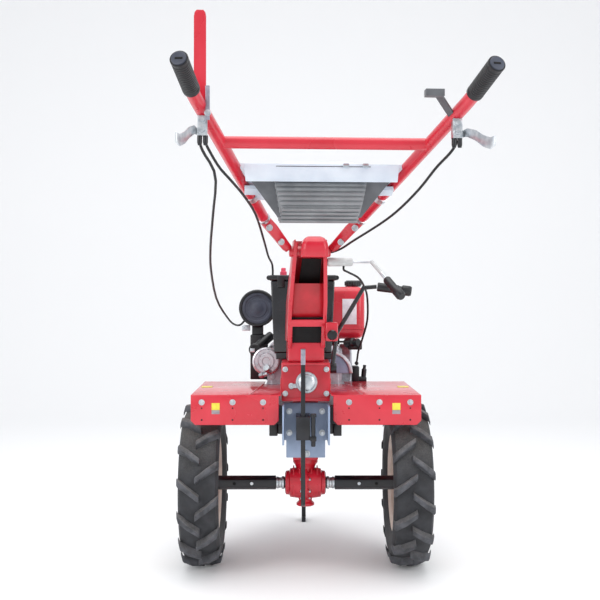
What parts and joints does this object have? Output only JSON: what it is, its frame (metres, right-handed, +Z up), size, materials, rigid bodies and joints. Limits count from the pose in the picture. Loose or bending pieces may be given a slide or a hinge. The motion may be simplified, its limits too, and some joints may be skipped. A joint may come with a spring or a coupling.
{
  "type": "walking tractor",
  "caption": "Two-wheeled diesel walking tractor with lugged tyres, hexagonal axles, fenders, hitch, depth stake and a tilting handlebar.",
  "frame": {"origin": "middle of the machine's footprint box, on the floor", "axes": "+Z up, +Y forwards from the operator to the engine, +X to the operator's right"},
  "size_m": [0.7298, 1.621, 1.3644],
  "materials": {
    "red_paint": "gloss red paint on steel and castings",
    "black_paint": "satin black paint",
    "grey_blue_paint": "satin grey-blue paint",
    "cream_paint": "satin cream paint",
    "tyre_rubber": "black tyre rubber, a little dusty",
    "grip_rubber": "ribbed black rubber",
    "white_plastic": "pale cool grey plastic",
    "grey_plastic": "grey ribbed plastic",
    "black_plastic": "black plastic",
    "zinc_steel": "bright zinc-plated steel",
    "cast_aluminium": "bare cast aluminium"
  },
  "bodies": {
    "chassis": {"air_cleaner": "black_plastic", "battery_box": "black_plastic", "battery_lid": "black_plastic", "battery_tray": "black_paint", "bell_housing": "cast_aluminium", "column_base": "red_paint", "engine_block": "cast_aluminium", "engine_stop_cable": "black_plastic", "final_drive_case": "red_paint", "flywheel_cowl": "cast_aluminium", "fuel_cap": "black_plastic", "fuel_tank": "red_paint", "gear_lever": "black_paint", "gear_lever_grip": "grip_rubber", "gearbox_case": "red_paint", "handle_column": "red_paint", "hitch_bracket": "grey_blue_paint", "intake_duct": "black_plastic", "left_fender": "red_paint", "left_frame_bracket": "black_paint", "left_frame_rail": "black_paint", "left_lever_cable": "black_plastic", "left_throttle_cable": "black_plastic", "muffler": "black_paint", "pto_cover": "zinc_steel", "right_fender": "red_paint", "right_frame_bracket": "black_paint", "right_frame_rail": "black_paint", "right_lever_cable": "black_plastic", "selector_grip": "grip_rubber", "selector_lever": "zinc_steel", "stake_sleeve": "black_paint", "stand_crossmember": "black_paint", "starter_motor": "cast_aluminium"},
    "left_wheel": {"left_tyre": "tyre_rubber", "left_rim": "cream_paint", "left_axle": "black_paint"},
    "right_wheel": {"right_tyre": "tyre_rubber", "right_rim": "cream_paint", "right_axle": "black_paint"},
    "stake": {"depth_stake": "black_paint"},
    "stand": {"front_stand": "black_paint"},
    "handlebar": {"handle_yoke": "red_paint", "left_handle_tube": "red_paint", "right_handle_tube": "red_paint", "crossbar": "red_paint", "clutch_lever": "red_paint", "throttle_lever": "black_paint", "left_grip": "grip_rubber", "right_grip": "grip_rubber", "tool_tray": "white_plastic", "tray_bin": "grey_plastic", "left_lever_bracket": "zinc_steel", "right_lever_bracket": "zinc_steel", "left_hand_lever": "zinc_steel", "right_hand_lever": "zinc_steel"}
  },
  "joints": [
    {"name": "left_wheel_roll", "type": "hinge", "parent": "chassis", "child": "left_wheel", "pos_m": [-0.30793, 0.21052, 0.236], "axis": [1, 0, 0], "continuous": true},
    {"name": "right_wheel_roll", "type": "hinge", "parent": "chassis", "child": "right_wheel", "pos_m": [0.28007, 0.21052, 0.236], "axis": [1, 0, 0], "continuous": true},
    {"name": "stake_depth", "type": "slide", "parent": "chassis", "child": "stake", "axis": [0, 0, 1], "range_m": [-0.15, 0.06]},
    {"name": "stand_fold", "type": "hinge", "parent": "chassis", "child": "stand", "pos_m": [-0.01393, 0.77051, 0.33], "axis": [1, 0, 0], "range_deg": [0, 85]},
    {"name": "handlebar_height", "type": "hinge", "parent": "chassis", "child": "handlebar", "pos_m": [-0.00477, -0.0392, 0.895], "axis": [0.9981, 0.061, 0], "range_deg": [-15, 20], "deforming": ["left_lever_cable", "left_throttle_cable", "right_lever_cable"]}
  ]
}
